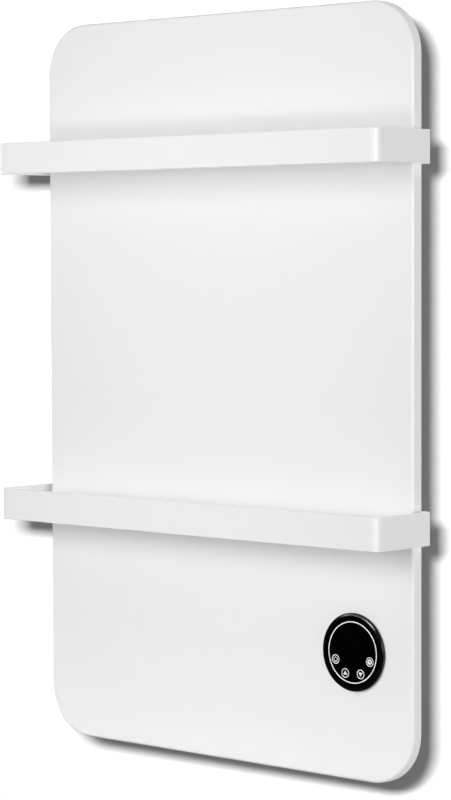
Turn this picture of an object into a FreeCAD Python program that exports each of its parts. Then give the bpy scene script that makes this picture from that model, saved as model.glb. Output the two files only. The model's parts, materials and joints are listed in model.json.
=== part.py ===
import FreeCAD, Part
import math
import os

# Infrared towel warmer that hangs on a bathroom wall, in millimetres.
# X runs to the viewer's right, Y from the room to the wall and Z up.
# The wall is the plane Y = 0, and the origin is the centre of the four wall screws.

# Panel
panel_width = 525.0
panel_height = 800.0
panel_depth = 13.5
panel_corner_radius = 55.0
panel_edge_radius = 3.0
panel_rear_edge_radius = 0.6
front_sheet = 1.2
back_sheet = 0.8
back_panel_play = 0.3
wall_gap = 22.0

# Stiffening beads pressed into the back panel
bead_count = 4
bead_pitch = 80.0
bead_width = 16.0
bead_rise = 1.6
bead_slope = 2.0
bead_end_gap = 14.0

# Heating layers behind the front sheet
film_margin = 12.0
film_thickness = 0.5
film_control_gap = 15.0
strip_thickness = 0.3
strip_height = 14.0
strip_pitch = 20.0
busbar_width = 10.0
busbar_inset = 4.0
busbar_thickness = 0.3
busbar_tail = 14.0
foil_thickness = 0.2
cutout_radius = 8.0
cutout_height = 5.0
cutout_flange_radius = 10.0
cutout_flange_height = 1.2
cutout_spacing = 160.0
cutout_blade_width = 4.8
cutout_blade_thickness = 0.8
cutout_blade_length = 7.0
sensor_length = 16.0
sensor_width = 7.0
sensor_height = 3.5

# Clips that hold the back panel in the front panel
clip_sheet = 1.5
clip_reach = 15.0
clip_height = 8.0
clip_width = 22.0
clip_hole_reach = 8.5

# Towel rails
rail_height = 34.5
rail_thickness = 4.0
rail_reach = 70.0
rail_side_gap = 6.0
rail_bend_radius = 10.0
rail_foot_bend_radius = 5.0
rail_edge_radius = 1.0
rail_foot_corner = 8.0
rail_foot_tail = 14.0
rail_hole_edge = 16.0
rail_hole_spacing = 18.0
upper_rail_drop = 149.2
lower_rail_level = 265.3
nut_plate_thickness = 3.0
nut_plate_border = 8.0

# Touch control
control_side_inset = 76.7
control_level = 133.3
control_radius = 40.75
control_proud = 4.0
control_edge_radius = 1.5
control_overlap = 7.2
bezel_rim = 4.2
bezel_flat_share = 0.42
bezel_bevel_angle = 12.0
lens_thickness = 2.0
lens_recess = 0.2
lens_play = 0.15
gasket_thickness = 0.6
gasket_inset = 1.2
spigot_wall = 2.0
board_shoulder = 2.0
board_thickness = 1.6
board_play = 0.2
pad_height = 3.5
pad_radius = 4.0
key_circle_radius = 24.2
key_angles = (200.0, 245.0, 295.0, 340.0)
display_width = 30.0
display_height = 14.0
display_lens_gap = 0.5
clamp_ring_radius = 40.0
clamp_ring_height = 4.0
clamp_ring_notches = 6
clamp_notch_width = 6.0
clamp_notch_depth = 2.0
control_cap_thickness = 2.0
control_rear_gap = 4.5
control_cable_radius = 4.0

# Wall rails and the hangers that hook over them
wall_screw_spacing = 300.0
wall_screw_rows = 400.0
wall_hole_radius = 2.75
wall_rail_length = 360.0
wall_flange = 26.0
bracket_sheet = 2.0
bracket_bend_radius = 1.0
lip_offset = 9.0
lip_height = 13.0
hook_play = 0.3
hook_end_gap = 3.0
hanger_width = 56.0
hanger_spacing = 220.0
hanger_flange = 24.0
hanger_hole_spacing = 32.0
lock_x = -60.0
lock_width = 26.0
lock_reach = 15.0
lock_gap = 4.0
lock_flange = 22.0
lock_hole_inset = 6.0
lock_screw_past = 3.0

# Bumpers that keep the panel off the wall
bumper_radius = 9.0
bumper_tip_radius = 7.0
bumper_side_inset = 62.0
bumper_end_inset = 58.0
bumper_stem_radius = 3.0
bumper_stem_length = 5.0

# Connection box on the back
box_width = 130.0
box_height = 70.0
box_wall = 2.0
box_corner_radius = 6.0
box_x = 80.0
box_level = 90.0
box_fixing_inset = 9.0
lid_lip = 2.0
lid_lip_wall = 1.5
lid_play = 0.2
lid_boss_radius = 4.0
lid_screw_sink = 1.0
power_board_left = 23.0
power_board_right = 43.0
power_board_below = 38.0
power_board_above = 4.0
power_board_post = 2.5
power_board_thickness = 1.6
relay_length = 28.0
relay_width = 12.0
terminal_poles = 3
terminal_pitch = 10.0
terminal_depth = 12.0
terminal_inset = 22.0
terminal_level = 8.0
terminal_wire_radius = 1.8
terminal_screw_radius = 2.4
inner_gap = 1.0
grommet_side_inset = 27.0
grommet_level = 28.0
grommet_bore = 5.0
grommet_neck = 7.0
grommet_flange = 9.0
grommet_lip = 1.5

# Leads inside the panel and the box
wire_radius = 1.2
wire_bend_radius = 3.5
wire_spread_x = 2.0
wire_spread_z = 3.0
wire_solder_length = 8.0
wire_strip_length = 6.0
wire_headroom = 7.0
board_lead_inset = 6.0

# Cable gland in the box's underside
gland_inset = 30.0
gland_flats = 15.0
gland_play = 0.5
gland_shank_radius = 6.0
gland_hex_height = 5.0
gland_neck_radius = 5.6
gland_neck_length = 8.0
gland_bore = 4.6
gland_cord_radius = 3.5
gland_seal_length = 11.0
gland_locknut_height = 3.5
gland_shank_past = 1.0
gland_cap_wall = 2.5
gland_cap_bore = 4.2
gland_cap_gap = 0.3

# Mains rocker switch in the box's underside
switch_inset = 34.0
switch_flange_length = 21.0
switch_flange_width = 15.0
switch_flange_height = 2.0
switch_body_length = 19.0
switch_body_width = 12.7
switch_body_depth = 12.0
rocker_radius = 7.6
rocker_width = 9.5
rocker_play = 0.3
rocker_pivot_level = 1.5
rocker_waist = 3.8
rocker_keel = 2.4
rocker_half_angle = 10.0
rocker_pin_radius = 1.2
rocker_pin_play = 0.05
rocker_pin_length = 0.9
blade_width = 4.8
blade_thickness = 0.8
blade_length = 7.0
blade_spacing = 7.0

# Fasteners, with the usual proportions of a pan head
small_screw_radius = 1.5
medium_screw_radius = 2.0
large_screw_radius = 2.5
head_to_shank = 1.9
head_height_to_shank = 1.2
recess_to_shank = 0.35
weld_nut_flats = 8.0
weld_nut_height = 3.2
thread_play = 0.05
hole_play = 0.3
pocket_play = 1.0
fillet_share = 0.8
plane_tolerance = 0.001

# Levels along Y, from the front sheet back to the wall
back_face = -wall_gap
front_face = back_face - panel_depth
sheet_inside = front_face + front_sheet
film_rear = sheet_inside + film_thickness
strip_rear = film_rear + strip_thickness
busbar_rear = strip_rear + busbar_thickness
foil_rear = busbar_rear + foil_thickness
back_inside = back_face - back_sheet
rail_front = front_face - rail_reach
rail_outer_x = panel_width / 2 + rail_side_gap + rail_thickness
foot_rear = back_face + rail_thickness

# Heights, measured from the panel's middle
panel_bottom = -panel_height / 2
panel_top = panel_height / 2
upper_rail_z = panel_top - upper_rail_drop
lower_rail_z = panel_bottom + lower_rail_level
upper_row_z = wall_screw_rows / 2
lower_row_z = -wall_screw_rows / 2
web_rise = wall_flange / 2 - bracket_sheet / 2
lip_rise = web_rise + lip_height
lock_tab_z = lower_row_z - wall_flange / 2 + bracket_sheet / 2
lock_shelf_z = lock_tab_z - bracket_sheet - lock_gap

# Control axis
control_x = panel_width / 2 - control_side_inset
control_z = panel_bottom + control_level
spigot_radius = control_radius - control_overlap
bezel_front = front_face - control_proud
bezel_rear = front_face - gasket_thickness
lens_front = bezel_front + lens_recess
lens_rear = lens_front + lens_thickness
lens_seat_radius = control_radius - bezel_rim
bevel_start_radius = lens_seat_radius + bezel_rim * bezel_flat_share
bevel_width = control_radius - bevel_start_radius
bevel_end = bezel_front + bevel_width * math.tan(math.radians(bezel_bevel_angle))
bezel_opening = spigot_radius - spigot_wall - board_shoulder
board_front = lens_rear + pad_height
board_rear = board_front + board_thickness
control_rear = back_inside - control_rear_gap
spigot_end = control_rear - control_cap_thickness

# Connection box
box_z = panel_bottom + box_level
box_inner_depth = gland_flats + 2 * gland_play
box_floor = back_face + box_wall
box_rim = box_floor + box_inner_depth
box_rear = box_rim + box_wall
box_mid = (box_floor + box_rim) / 2
box_left = box_x - box_width / 2 + box_wall
box_right = box_x + box_width / 2 - box_wall
box_bottom = box_z - box_height / 2
box_inner_bottom = box_bottom + box_wall
box_inner_top = box_z + box_height / 2 - box_wall
gland_x = box_left + gland_inset
switch_x = box_right - switch_inset
grommet_x = box_right - grommet_side_inset
grommet_z = box_inner_bottom + grommet_level
terminal_left = box_left + terminal_inset
terminal_bottom = box_inner_bottom + terminal_level
terminal_top = terminal_bottom + terminal_depth
terminal_crown = box_rim - lid_lip - inner_gap
terminal_wire_y = (box_floor + terminal_crown) / 2
power_board_seat = box_floor + power_board_post
power_board_rear = power_board_seat + power_board_thickness
lid_boss_x = box_width / 2 - box_wall - lid_boss_radius
lid_boss_z = box_height / 2 - box_wall - lid_boss_radius

# Inner outline of the front panel's tray
tray_width = panel_width - 2 * front_sheet
tray_height = panel_height - 2 * front_sheet
tray_corner_radius = panel_corner_radius - front_sheet


def point(x, y, z):
    return FreeCAD.Vector(x, y, z)


def span(x, y, z):
    # Block between the two ends given along each axis
    size = (x[1] - x[0], y[1] - y[0], z[1] - z[0])
    return Part.makeBox(*size, point(x[0], y[0], z[0]))


def rod(x, z, radius, y):
    # Round bar along Y between the two ends given
    return Part.makeCylinder(radius, y[1] - y[0], point(x, y[0], z), point(0, 1, 0))


def rods(places, radius, y):
    # Equal round bars along Y, one at each (x, z)
    return [rod(x, z, radius, y) for x, z in places]


def post(x, y, radius, z):
    # Round bar along Z between the two ends given
    return Part.makeCylinder(radius, z[1] - z[0], point(x, y, z[0]))


def line(start, end):
    return Part.LineSegment(start, end).toShape()


def arc(start, middle, end):
    return Part.Arc(start, middle, end).toShape()


def rounded_rectangle(width, height, radius, x=0.0, z=0.0):
    # Face in the plane Y = 0
    edges = []
    ends = []
    for quarter in range(4):
        start = math.radians(90 * quarter)
        side = 1 if quarter in (0, 3) else -1
        rise = 1 if quarter in (0, 1) else -1
        centre = point(x + side * (width / 2 - radius), 0, z + rise * (height / 2 - radius))
        turns = (start, start + math.pi / 4, start + math.pi / 2)
        rim = [centre + point(radius * math.cos(t), 0, radius * math.sin(t)) for t in turns]
        edges.append(arc(*rim))
        ends.append((rim[0], rim[2]))
    for index, (_, leaving) in enumerate(ends):
        edges.append(line(leaving, ends[(index + 1) % 4][0]))
    return Part.Face(Part.Wire(Part.__sortEdges__(edges)))


def stadium(width, length, x, z):
    # Upright face with half-round ends in the plane Y = 0
    radius = width / 2
    edges = []
    for rise in (-1, 1):
        centre = point(x, 0, z + rise * (length / 2 - radius))
        across = point(radius, 0, 0)
        edges.append(arc(centre - across, centre + point(0, 0, rise * radius), centre + across))
    for side in (-1, 1):
        low = point(x + side * radius, 0, z - length / 2 + radius)
        edges.append(line(low, low + point(0, 0, length - width)))
    return Part.Face(Part.Wire(Part.__sortEdges__(edges)))


def slab(face, y):
    # Face of the plane Y = 0, thickened between the two levels given
    return face.translated(point(0, y[0], 0)).extrude(point(0, y[1] - y[0], 0))


def ring(x, z, inner, outer, y):
    return rod(x, z, outer, y).cut(rod(x, z, inner, y))


def spun(profile, x, z):
    # Turned piece on an axis along Y, from corners given as (radius, y)
    corners = [point(radius, y, 0) for radius, y in profile]
    face = Part.Face(Part.makePolygon(corners + corners[:1]))
    solid = face.revolve(point(0, 0, 0), point(0, 1, 0), 360)
    return solid.translated(point(x, 0, z))


def hexagon(flats, height):
    # Upright hexagonal bar on the origin, with two of its flats square to Y
    reach = flats / math.sqrt(3)
    corners = []
    for index in range(6):
        turn = math.radians(60 * index)
        corners.append(point(reach * math.cos(turn), reach * math.sin(turn), 0))
    return Part.Face(Part.makePolygon(corners + corners[:1])).extrude(point(0, 0, height))


def direction(start, end):
    length = math.hypot(end[0] - start[0], end[1] - start[1])
    return ((end[0] - start[0]) / length, (end[1] - start[1]) / length)


def bent_side(corners, offset, radius):
    # One side of a bent strip: points along it, three for each bend
    first = direction(corners[0], corners[1])
    side = [(corners[0][0] - first[1] * offset, corners[0][1] + first[0] * offset)]
    for before, corner, after in zip(corners, corners[1:], corners[2:]):
        come = direction(before, corner)
        leave = direction(corner, after)
        turn = math.atan2(come[0] * leave[1] - come[1] * leave[0], come[0] * leave[0] + come[1] * leave[1])
        sign = math.copysign(1, turn)
        setback = radius * math.tan(abs(turn) / 2)
        touch = (corner[0] - come[0] * setback, corner[1] - come[1] * setback)
        centre = (touch[0] - come[1] * radius * sign, touch[1] + come[0] * radius * sign)
        outward = direction(centre, corner)
        reach = radius - sign * offset
        side.append((centre[0] + come[1] * sign * reach, centre[1] - come[0] * sign * reach))
        side.append((centre[0] + outward[0] * reach, centre[1] + outward[1] * reach))
        side.append((centre[0] + leave[1] * sign * reach, centre[1] - leave[0] * sign * reach))
    last = direction(corners[-2], corners[-1])
    side.append((corners[-1][0] - last[1] * offset, corners[-1][1] + last[0] * offset))
    return side


def bent_strip(corners, thickness, inner_radius, place):
    # Edge-on face of a folded strip from the corners of its middle line
    edges = []
    ends = []
    for offset in (thickness / 2, -thickness / 2):
        side = [place(*pair) for pair in bent_side(corners, offset, inner_radius + thickness / 2)]
        for start in range(0, len(side) - 1, 3):
            edges.append(line(side[start], side[start + 1]))
        for start in range(1, len(side) - 1, 3):
            edges.append(arc(*side[start:start + 3]))
        ends.append((side[0], side[-1]))
    edges.append(line(ends[0][0], ends[1][0]))
    edges.append(line(ends[0][1], ends[1][1]))
    return Part.Face(Part.Wire(Part.__sortEdges__(edges)))


def folded(corners, thickness, inner_radius, x):
    # Folded sheet with its section in the YZ plane, between the two ends given along X
    face = bent_strip(corners, thickness, inner_radius, lambda y, z: point(x[0], y, z))
    return face.extrude(point(x[1] - x[0], 0, 0))


def pan_screw(shank_radius, length):
    # Screw along Y: its head stands on the plane Y = 0 and its shank points to -Y
    head = head_to_shank * shank_radius
    height = head_height_to_shank * shank_radius
    profile = (
        (0, -length),
        (shank_radius, -length),
        (shank_radius, 0),
        (head, 0),
        (head, height / 2),
        (head - height / 2, height),
        (0, height),
    )
    screw = spun(profile, 0, 0)
    slot = recess_to_shank * shank_radius
    depth = (height / 2, height)
    screw = screw.cut(span((-shank_radius, shank_radius), depth, (-slot, slot)))
    return screw.cut(span((-slot, slot), depth, (-shank_radius, shank_radius)))


def cross_pairs(x, z):
    # The four places with both signs of x and z
    return [(side * x, rise * z) for side in (-1, 1) for rise in (-1, 1)]


def group(solids):
    return Part.Compound(list(solids))


def edges_in_plane(solid, y):
    # Edges that lie in the plane at this level along Y
    found = []
    for edge in solid.Edges:
        reach = edge.BoundBox
        if abs(reach.YMin - y) < plane_tolerance and abs(reach.YMax - y) < plane_tolerance:
            found.append(edge)
    return found


# Places shared by several pieces


def clip_places():
    # (x, z, turn about Y) of each clip, on the walls of the tray and clear of the rail feet
    straight_top = panel_top - panel_corner_radius
    straight_bottom = panel_bottom + panel_corner_radius
    levels = (
        (straight_top + upper_rail_z + rail_height / 2) / 2,
        (upper_rail_z + lower_rail_z) / 2,
        (straight_bottom + lower_rail_z - rail_height / 2) / 2,
    )
    places = []
    for level in levels:
        places.append((-tray_width / 2, level, 0))
        places.append((tray_width / 2, level, 180))
    for side in (-1, 1):
        places.append((side * panel_width / 4, tray_height / 2, 90))
        places.append((side * panel_width / 4, -tray_height / 2, -90))
    return places


def clip_holes():
    holes = []
    for x, z, turn in clip_places():
        inward = math.radians(turn)
        holes.append((x + clip_hole_reach * math.cos(inward), z - clip_hole_reach * math.sin(inward)))
    return holes


def rail_holes(level):
    edge = panel_width / 2 - rail_hole_edge
    return [(side * x, level) for side in (-1, 1) for x in (edge, edge - rail_hole_spacing)]


def all_rail_holes():
    return rail_holes(upper_rail_z) + rail_holes(lower_rail_z)


def hanger_places():
    # (x, z) of the top of each wall rail's lip where a hanger rests on it
    rows = (upper_row_z + lip_rise, lower_row_z + lip_rise)
    return [(side * hanger_spacing / 2, row) for row in rows for side in (-1, 1)]


def hanger_holes():
    rise = bracket_sheet + (hanger_flange - bracket_sheet) / 2
    holes = []
    for x, z in hanger_places():
        for side in (-1, 1):
            holes.append((x + side * hanger_hole_spacing / 2, z + rise))
    return holes


def lock_holes():
    drop = lock_shelf_z - lock_flange / 2
    half = lock_width / 2 - lock_hole_inset
    return [(lock_x + side * half, drop) for side in (-1, 1)]


def box_holes():
    half = box_width / 2 - box_wall - box_fixing_inset
    return [(box_x + side * half, box_z) for side in (-1, 1)]


def bracket_holes():
    return hanger_holes() + lock_holes() + box_holes()


def lid_holes():
    return [(box_x + x, box_z + z) for x, z in cross_pairs(lid_boss_x, lid_boss_z)]


def bumper_places():
    return cross_pairs(panel_width / 2 - bumper_side_inset, panel_height / 2 - bumper_end_inset)


def key_places():
    places = []
    for angle in key_angles:
        turn = math.radians(angle)
        x = control_x + key_circle_radius * math.cos(turn)
        places.append((x, control_z + key_circle_radius * math.sin(turn)))
    return places


def film_reach():
    # Left, right, bottom and top of the heating film
    right = tray_width / 2 - film_margin
    bottom = control_z + clamp_ring_radius + film_control_gap
    return -right, right, bottom, tray_height / 2 - film_margin


def film_outline():
    left, right, bottom, top = film_reach()
    radius = tray_corner_radius - film_margin
    return rounded_rectangle(right - left, top - bottom, radius, 0, (top + bottom) / 2)


def heated_levels():
    # Bottom and top of the strips, which stay between the film's rounded corners
    _, _, bottom, top = film_reach()
    radius = tray_corner_radius - film_margin
    return bottom + radius, top - radius


def cutout_places():
    bottom, top = heated_levels()
    return [(side * cutout_spacing / 2, (bottom + top) / 2) for side in (-1, 1)]


def sensor_place():
    bottom, top = heated_levels()
    return 0.0, (bottom + top) / 2


# Panel


def front_panel():
    outline = rounded_rectangle(panel_width, panel_height, panel_corner_radius)
    tray = slab(outline, (front_face, back_face))
    tray = tray.makeFillet(panel_edge_radius, edges_in_plane(tray, front_face))
    tray = tray.makeFillet(panel_rear_edge_radius, edges_in_plane(tray, back_face))
    inside = rounded_rectangle(tray_width, tray_height, tray_corner_radius)
    hollow = slab(inside, (sheet_inside, back_face))
    hollow = hollow.makeFillet(panel_edge_radius - front_sheet, edges_in_plane(hollow, sheet_inside))
    hole = rod(control_x, control_z, spigot_radius + hole_play, (front_face, back_face))
    return tray.cut([hollow, hole])


def bead(x, bottom, top, width, rise):
    # Long raised panel with sloping sides and round ends, on the plane Y = 0
    wires = []
    for level, inset in ((0, 0), (rise, bead_slope)):
        outline = stadium(width - 2 * inset, top - bottom - 2 * inset, x, (top + bottom) / 2)
        wires.append(outline.translated(point(0, level, 0)).OuterWire)
    return Part.makeLoft(wires, True, True)


def back_panel():
    width = tray_width - 2 * back_panel_play
    height = tray_height - 2 * back_panel_play
    outline = rounded_rectangle(width, height, tray_corner_radius - back_panel_play)
    sheet = slab(outline, (back_inside, back_face))
    bottom = lower_row_z + lip_rise + hanger_flange + bead_end_gap
    top = upper_row_z - wall_flange / 2 - bead_end_gap
    hollows = []
    for index in range(bead_count):
        x = (index - (bead_count - 1) / 2) * bead_pitch
        raised = bead(x, bottom, top, bead_width, bead_rise)
        sheet = sheet.fuse(raised.translated(point(0, back_face, 0)))
        hollows.append(raised.translated(point(0, back_inside, 0)))
    through = (back_inside, back_face)
    holes = rods(clip_holes() + bracket_holes(), medium_screw_radius + hole_play, through)
    holes += rods(all_rail_holes(), large_screw_radius + hole_play, through)
    holes += rods(bumper_places(), bumper_stem_radius + thread_play, through)
    holes.append(rod(grommet_x, grommet_z, grommet_neck + thread_play, through))
    return sheet.cut(hollows + holes)


def edge_clips():
    middle = clip_sheet / 2
    corners = (
        (middle, back_inside - clip_height),
        (middle, back_inside - middle),
        (clip_reach, back_inside - middle),
    )
    face = bent_strip(corners, clip_sheet, clip_sheet / 2, lambda x, y: point(x, y, -clip_width / 2))
    clip = face.extrude(point(0, 0, clip_width))
    depth = (back_inside - clip_height, back_inside)
    clip = clip.cut(rod(clip_hole_reach, 0, medium_screw_radius + thread_play, depth))
    clips = []
    for x, z, turn in clip_places():
        turned = clip.rotated(point(0, 0, 0), point(0, 1, 0), turn)
        clips.append(turned.translated(point(x, 0, z)))
    return group(clips)


def back_panel_screws():
    length = back_sheet + clip_sheet + medium_screw_radius
    screw = pan_screw(medium_screw_radius, length)
    return group(screw.translated(point(x, back_face, z)) for x, z in clip_holes())


# Heating layers


def heating_film():
    return slab(film_outline(), (sheet_inside, film_rear))


def strip_half_width():
    _, right, _, _ = film_reach()
    return right - busbar_inset


def carbon_strips():
    bottom, top = heated_levels()
    count = int((top - bottom) // strip_pitch)
    half = strip_half_width()
    strips = []
    for index in range(count):
        z = (bottom + top) / 2 + (index - (count - 1) / 2) * strip_pitch
        height = (z - strip_height / 2, z + strip_height / 2)
        strips.append(span((-half, half), (film_rear, strip_rear), height))
    return group(strips)


def busbars():
    outer = strip_half_width()
    inner = outer - busbar_width
    thickness = (strip_rear, busbar_rear)
    tall = (busbar_bottom(), heated_levels()[1])
    return group(span(x, thickness, tall) for x in ((-outer, -inner), (inner, outer)))


def busbar_bottom():
    # Each busbar's tail reaches below the film, where its lead is soldered on
    _, _, bottom, _ = film_reach()
    return bottom - busbar_tail


def reflector_foil():
    return slab(film_outline(), (busbar_rear, foil_rear))


def insulation_board():
    margin = clip_reach + pocket_play
    radius = tray_corner_radius - margin
    outline = rounded_rectangle(tray_width - 2 * margin, tray_height - 2 * margin, radius)
    whole = (foil_rear, back_inside)
    board = slab(outline, whole)
    pockets = [rod(control_x, control_z, clamp_ring_radius + pocket_play, whole)]
    nut_room = (back_inside - weld_nut_height - medium_screw_radius, back_inside)
    nut_radius = weld_nut_flats / math.sqrt(3) + pocket_play
    pockets += rods(bracket_holes(), nut_radius, nut_room)
    stem_room = (back_face - bumper_stem_length - pocket_play, back_inside)
    pockets += rods(bumper_places(), bumper_stem_radius + pocket_play, stem_room)
    pockets.append(rod(grommet_x, grommet_z, grommet_flange + pocket_play, whole))
    for corners in heater_lead_corners() + [control_lead_corners()]:
        pockets += wire_channels(corners)
    pockets += [plate_block(*place, pocket_play) for place in nut_plate_places()]
    cutout_room = (foil_rear, foil_rear + cutout_height + pocket_play)
    half = cutout_flange_radius + cutout_blade_length
    for x, z in cutout_places():
        wide = (x - half, x + half)
        tall = (z - cutout_flange_radius - pocket_play, z + cutout_flange_radius + pocket_play)
        pockets.append(span(wide, cutout_room, tall))
    pockets.append(sensor_block(pocket_play))
    return board.cut(pockets)


def thermal_cutouts():
    # Round bimetal switches with a flange and two side blades
    seat = foil_rear
    switches = []
    for x, z in cutout_places():
        flange = rod(x, z, cutout_flange_radius, (seat, seat + cutout_flange_height))
        body = flange.fuse(rod(x, z, cutout_radius, (seat, seat + cutout_height)))
        half = cutout_radius + cutout_blade_length
        level = seat + (cutout_flange_height + cutout_height) / 2
        thick = (level - cutout_blade_thickness / 2, level + cutout_blade_thickness / 2)
        tall = (z - cutout_blade_width / 2, z + cutout_blade_width / 2)
        switches.append(body.fuse(span((x - half, x + half), thick, tall)))
    return group(switches)


def sensor_block(margin):
    x, z = sensor_place()
    half_length = sensor_length / 2 + margin
    half_width = sensor_width / 2 + margin
    depth = (foil_rear, foil_rear + sensor_height + margin)
    return span((x - half_width, x + half_width), depth, (z - half_length, z + half_length))


def temperature_sensor():
    block = sensor_block(0)
    rear = edges_in_plane(block, foil_rear + sensor_height)
    return block.makeFillet(sensor_height / 4, rear)


# Leads


def heater_lead_corners():
    # From each busbar's tail down and across to the grommet, then along the box into a pole
    x = strip_half_width() - busbar_width / 2
    y = busbar_rear + wire_radius
    start = busbar_bottom() + wire_solder_length
    end = terminal_top - wire_strip_length
    routes = []
    for side, pole, level in ((1, 0, grommet_z), (-1, 1, grommet_z - wire_spread_z)):
        across = grommet_x + side * wire_spread_x
        routes.append([
            point(side * x, y, start),
            point(side * x, y, level),
            point(across, y, level),
            point(across, terminal_wire_y, level),
            point(pole_x(pole), terminal_wire_y, level),
            point(pole_x(pole), terminal_wire_y, end),
        ])
    return routes


def control_lead_corners():
    # From the control's board through its cap to the grommet, then onto the power board
    wide, tall = power_board_span()
    start = cap_hole_z()
    z = grommet_z + wire_spread_z
    behind = back_inside - grommet_lip - wire_radius - thread_play
    above = power_board_rear + wire_headroom
    end_x = wide[1] - board_lead_inset
    end_z = sum(tall) / 2
    return [
        point(control_x, board_rear, start),
        point(control_x, behind, start),
        point(grommet_x, behind, start),
        point(grommet_x, behind, z),
        point(grommet_x, above, z),
        point(grommet_x, above, end_z),
        point(end_x, above, end_z),
        point(end_x, power_board_rear, end_z),
    ]


def wire(corners):
    # Round lead along straight runs with a bend at each corner
    edges = []
    start = corners[0]
    for corner, after in zip(corners[1:], corners[2:]):
        come = (corner - start).normalize()
        leave = (after - corner).normalize()
        first = corner - come * wire_bend_radius
        last = corner + leave * wire_bend_radius
        centre = first + leave * wire_bend_radius
        crown = centre + (corner - centre).normalize() * wire_bend_radius
        edges.append(line(start, first))
        edges.append(arc(first, crown, last))
        start = last
    edges.append(line(start, corners[-1]))
    end = Part.Wire(Part.makeCircle(wire_radius, corners[0], corners[1] - corners[0]))
    return Part.Wire(edges).makePipeShell([end], True, False)


def wire_channels(corners):
    # Room for a lead: a block round each of its straight runs
    margin = wire_radius + pocket_play
    blocks = []
    for start, end in zip(corners, corners[1:]):
        reach = [(min(pair) - margin, max(pair) + margin) for pair in zip(start, end)]
        blocks.append(span(*reach))
    return blocks


def heater_leads():
    return group(wire(corners) for corners in heater_lead_corners())


def control_lead():
    return wire(control_lead_corners())


# Towel rails


def towel_rail(level):
    middle = rail_thickness / 2
    foot_end = panel_width / 2 - rail_hole_edge - rail_hole_spacing - rail_foot_tail
    outer = rail_outer_x - middle
    front = rail_front + middle
    rear = foot_rear - middle
    corners = ((foot_end, rear), (outer, rear), (outer, front))
    bends = (rail_foot_bend_radius - middle, rail_bend_radius - middle)
    path = rail_path(corners, bends, level)
    section = rounded_rectangle(rail_thickness, rail_height, rail_edge_radius)
    section.rotate(point(0, 0, 0), point(0, 0, 1), 90)
    section.translate(point(-foot_end, rear, level))
    sweep = Part.BRepOffsetAPI.MakePipeShell(path)
    sweep.setBiNormalMode(point(0, 0, 1))
    sweep.add(section.OuterWire)
    sweep.build()
    sweep.makeSolid()
    holes = rods(rail_holes(level), large_screw_radius + hole_play, (back_face, foot_rear))
    return sweep.shape().cut(holes + foot_corner_cuts(foot_end, level))


def rail_path(corners, bends, level):
    # Middle line of the whole band: a foot, a return, the front, a return and a foot
    half = []
    middle_stop = (0, corners[-1][1])
    stops = corners + (middle_stop,)
    for before, corner, after, radius in zip(stops, stops[1:], stops[2:], bends):
        come = direction(before, corner)
        leave = direction(corner, after)
        start = (corner[0] - come[0] * radius, corner[1] - come[1] * radius)
        end = (corner[0] + leave[0] * radius, corner[1] + leave[1] * radius)
        inside = (start[0] + leave[0] * radius, start[1] + leave[1] * radius)
        outward = direction(inside, corner)
        crown = (inside[0] + outward[0] * radius, inside[1] + outward[1] * radius)
        half.append((start, crown, end))
    left = [corners[0]] + [pair for bend in half for pair in bend]
    left = [(-x, y) for x, y in left]
    right = [(-x, y) for x, y in reversed(left)]
    marks = [point(x, y, level) for x, y in left + right]
    edges = []
    for start in range(0, len(marks) - 1, 3):
        edges.append(line(marks[start], marks[start + 1]))
    for start in range(1, len(marks) - 2, 3):
        edges.append(arc(*marks[start:start + 3]))
    return Part.Wire(Part.__sortEdges__(edges))


def foot_corner_cuts(foot_end, level):
    # What is taken off the four outer corners of the feet to round them
    cuts = []
    depth = (back_face, foot_rear)
    for side, rise in cross_pairs(1, 1):
        x = side * (foot_end + rail_foot_corner)
        z = level + rise * (rail_height / 2 - rail_foot_corner)
        wide = sorted((x, x - side * rail_foot_corner))
        tall = sorted((z, z + rise * rail_foot_corner))
        cuts.append(span(wide, depth, tall).cut(rod(x, z, rail_foot_corner, depth)))
    return cuts


def nut_plate_places():
    # (x range, z) of each nut plate inside the back panel, behind a rail foot
    near = panel_width / 2 - rail_hole_edge + nut_plate_border
    far = panel_width / 2 - rail_hole_edge - rail_hole_spacing - nut_plate_border
    ends = ((-near, -far), (far, near))
    return [(wide, z) for z in (upper_rail_z, lower_rail_z) for wide in ends]


def plate_block(wide, z, margin):
    half = rail_height / 2 - nut_plate_border / 2 + margin
    depth = (back_inside - nut_plate_thickness - margin, back_inside)
    return span((wide[0] - margin, wide[1] + margin), depth, (z - half, z + half))


def rail_nut_plates():
    depth = (back_inside - nut_plate_thickness, back_inside)
    holes = rods(all_rail_holes(), large_screw_radius + thread_play, depth)
    return group(plate_block(wide, z, 0).cut(holes) for wide, z in nut_plate_places())


def rail_screws():
    screw = pan_screw(large_screw_radius, rail_thickness + back_sheet + nut_plate_thickness)
    return group(screw.translated(point(x, foot_rear, z)) for x, z in all_rail_holes())


# Touch control


def control_bezel():
    profile = (
        (bezel_opening, lens_rear),
        (lens_seat_radius, lens_rear),
        (lens_seat_radius, bezel_front),
        (bevel_start_radius, bezel_front),
        (control_radius, bevel_end),
        (control_radius, bezel_rear),
        (spigot_radius, bezel_rear),
        (spigot_radius, spigot_end),
        (spigot_radius - spigot_wall, spigot_end),
        (spigot_radius - spigot_wall, board_front),
        (bezel_opening, board_front),
    )
    bezel = spun(profile, control_x, control_z)
    rim = edges_in_plane(bezel, bevel_end)
    wall = min(bevel_width, bezel_rear - bevel_end)
    return bezel.makeFillet(min(control_edge_radius, wall * fillet_share), rim)


def touch_lens():
    lens = rod(control_x, control_z, lens_seat_radius - lens_play, (lens_front, lens_rear))
    return lens.makeFillet(lens_recess, edges_in_plane(lens, lens_front))


def bezel_gasket():
    outer = control_radius - gasket_inset
    return ring(control_x, control_z, spigot_radius + hole_play, outer, (bezel_rear, front_face))


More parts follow.
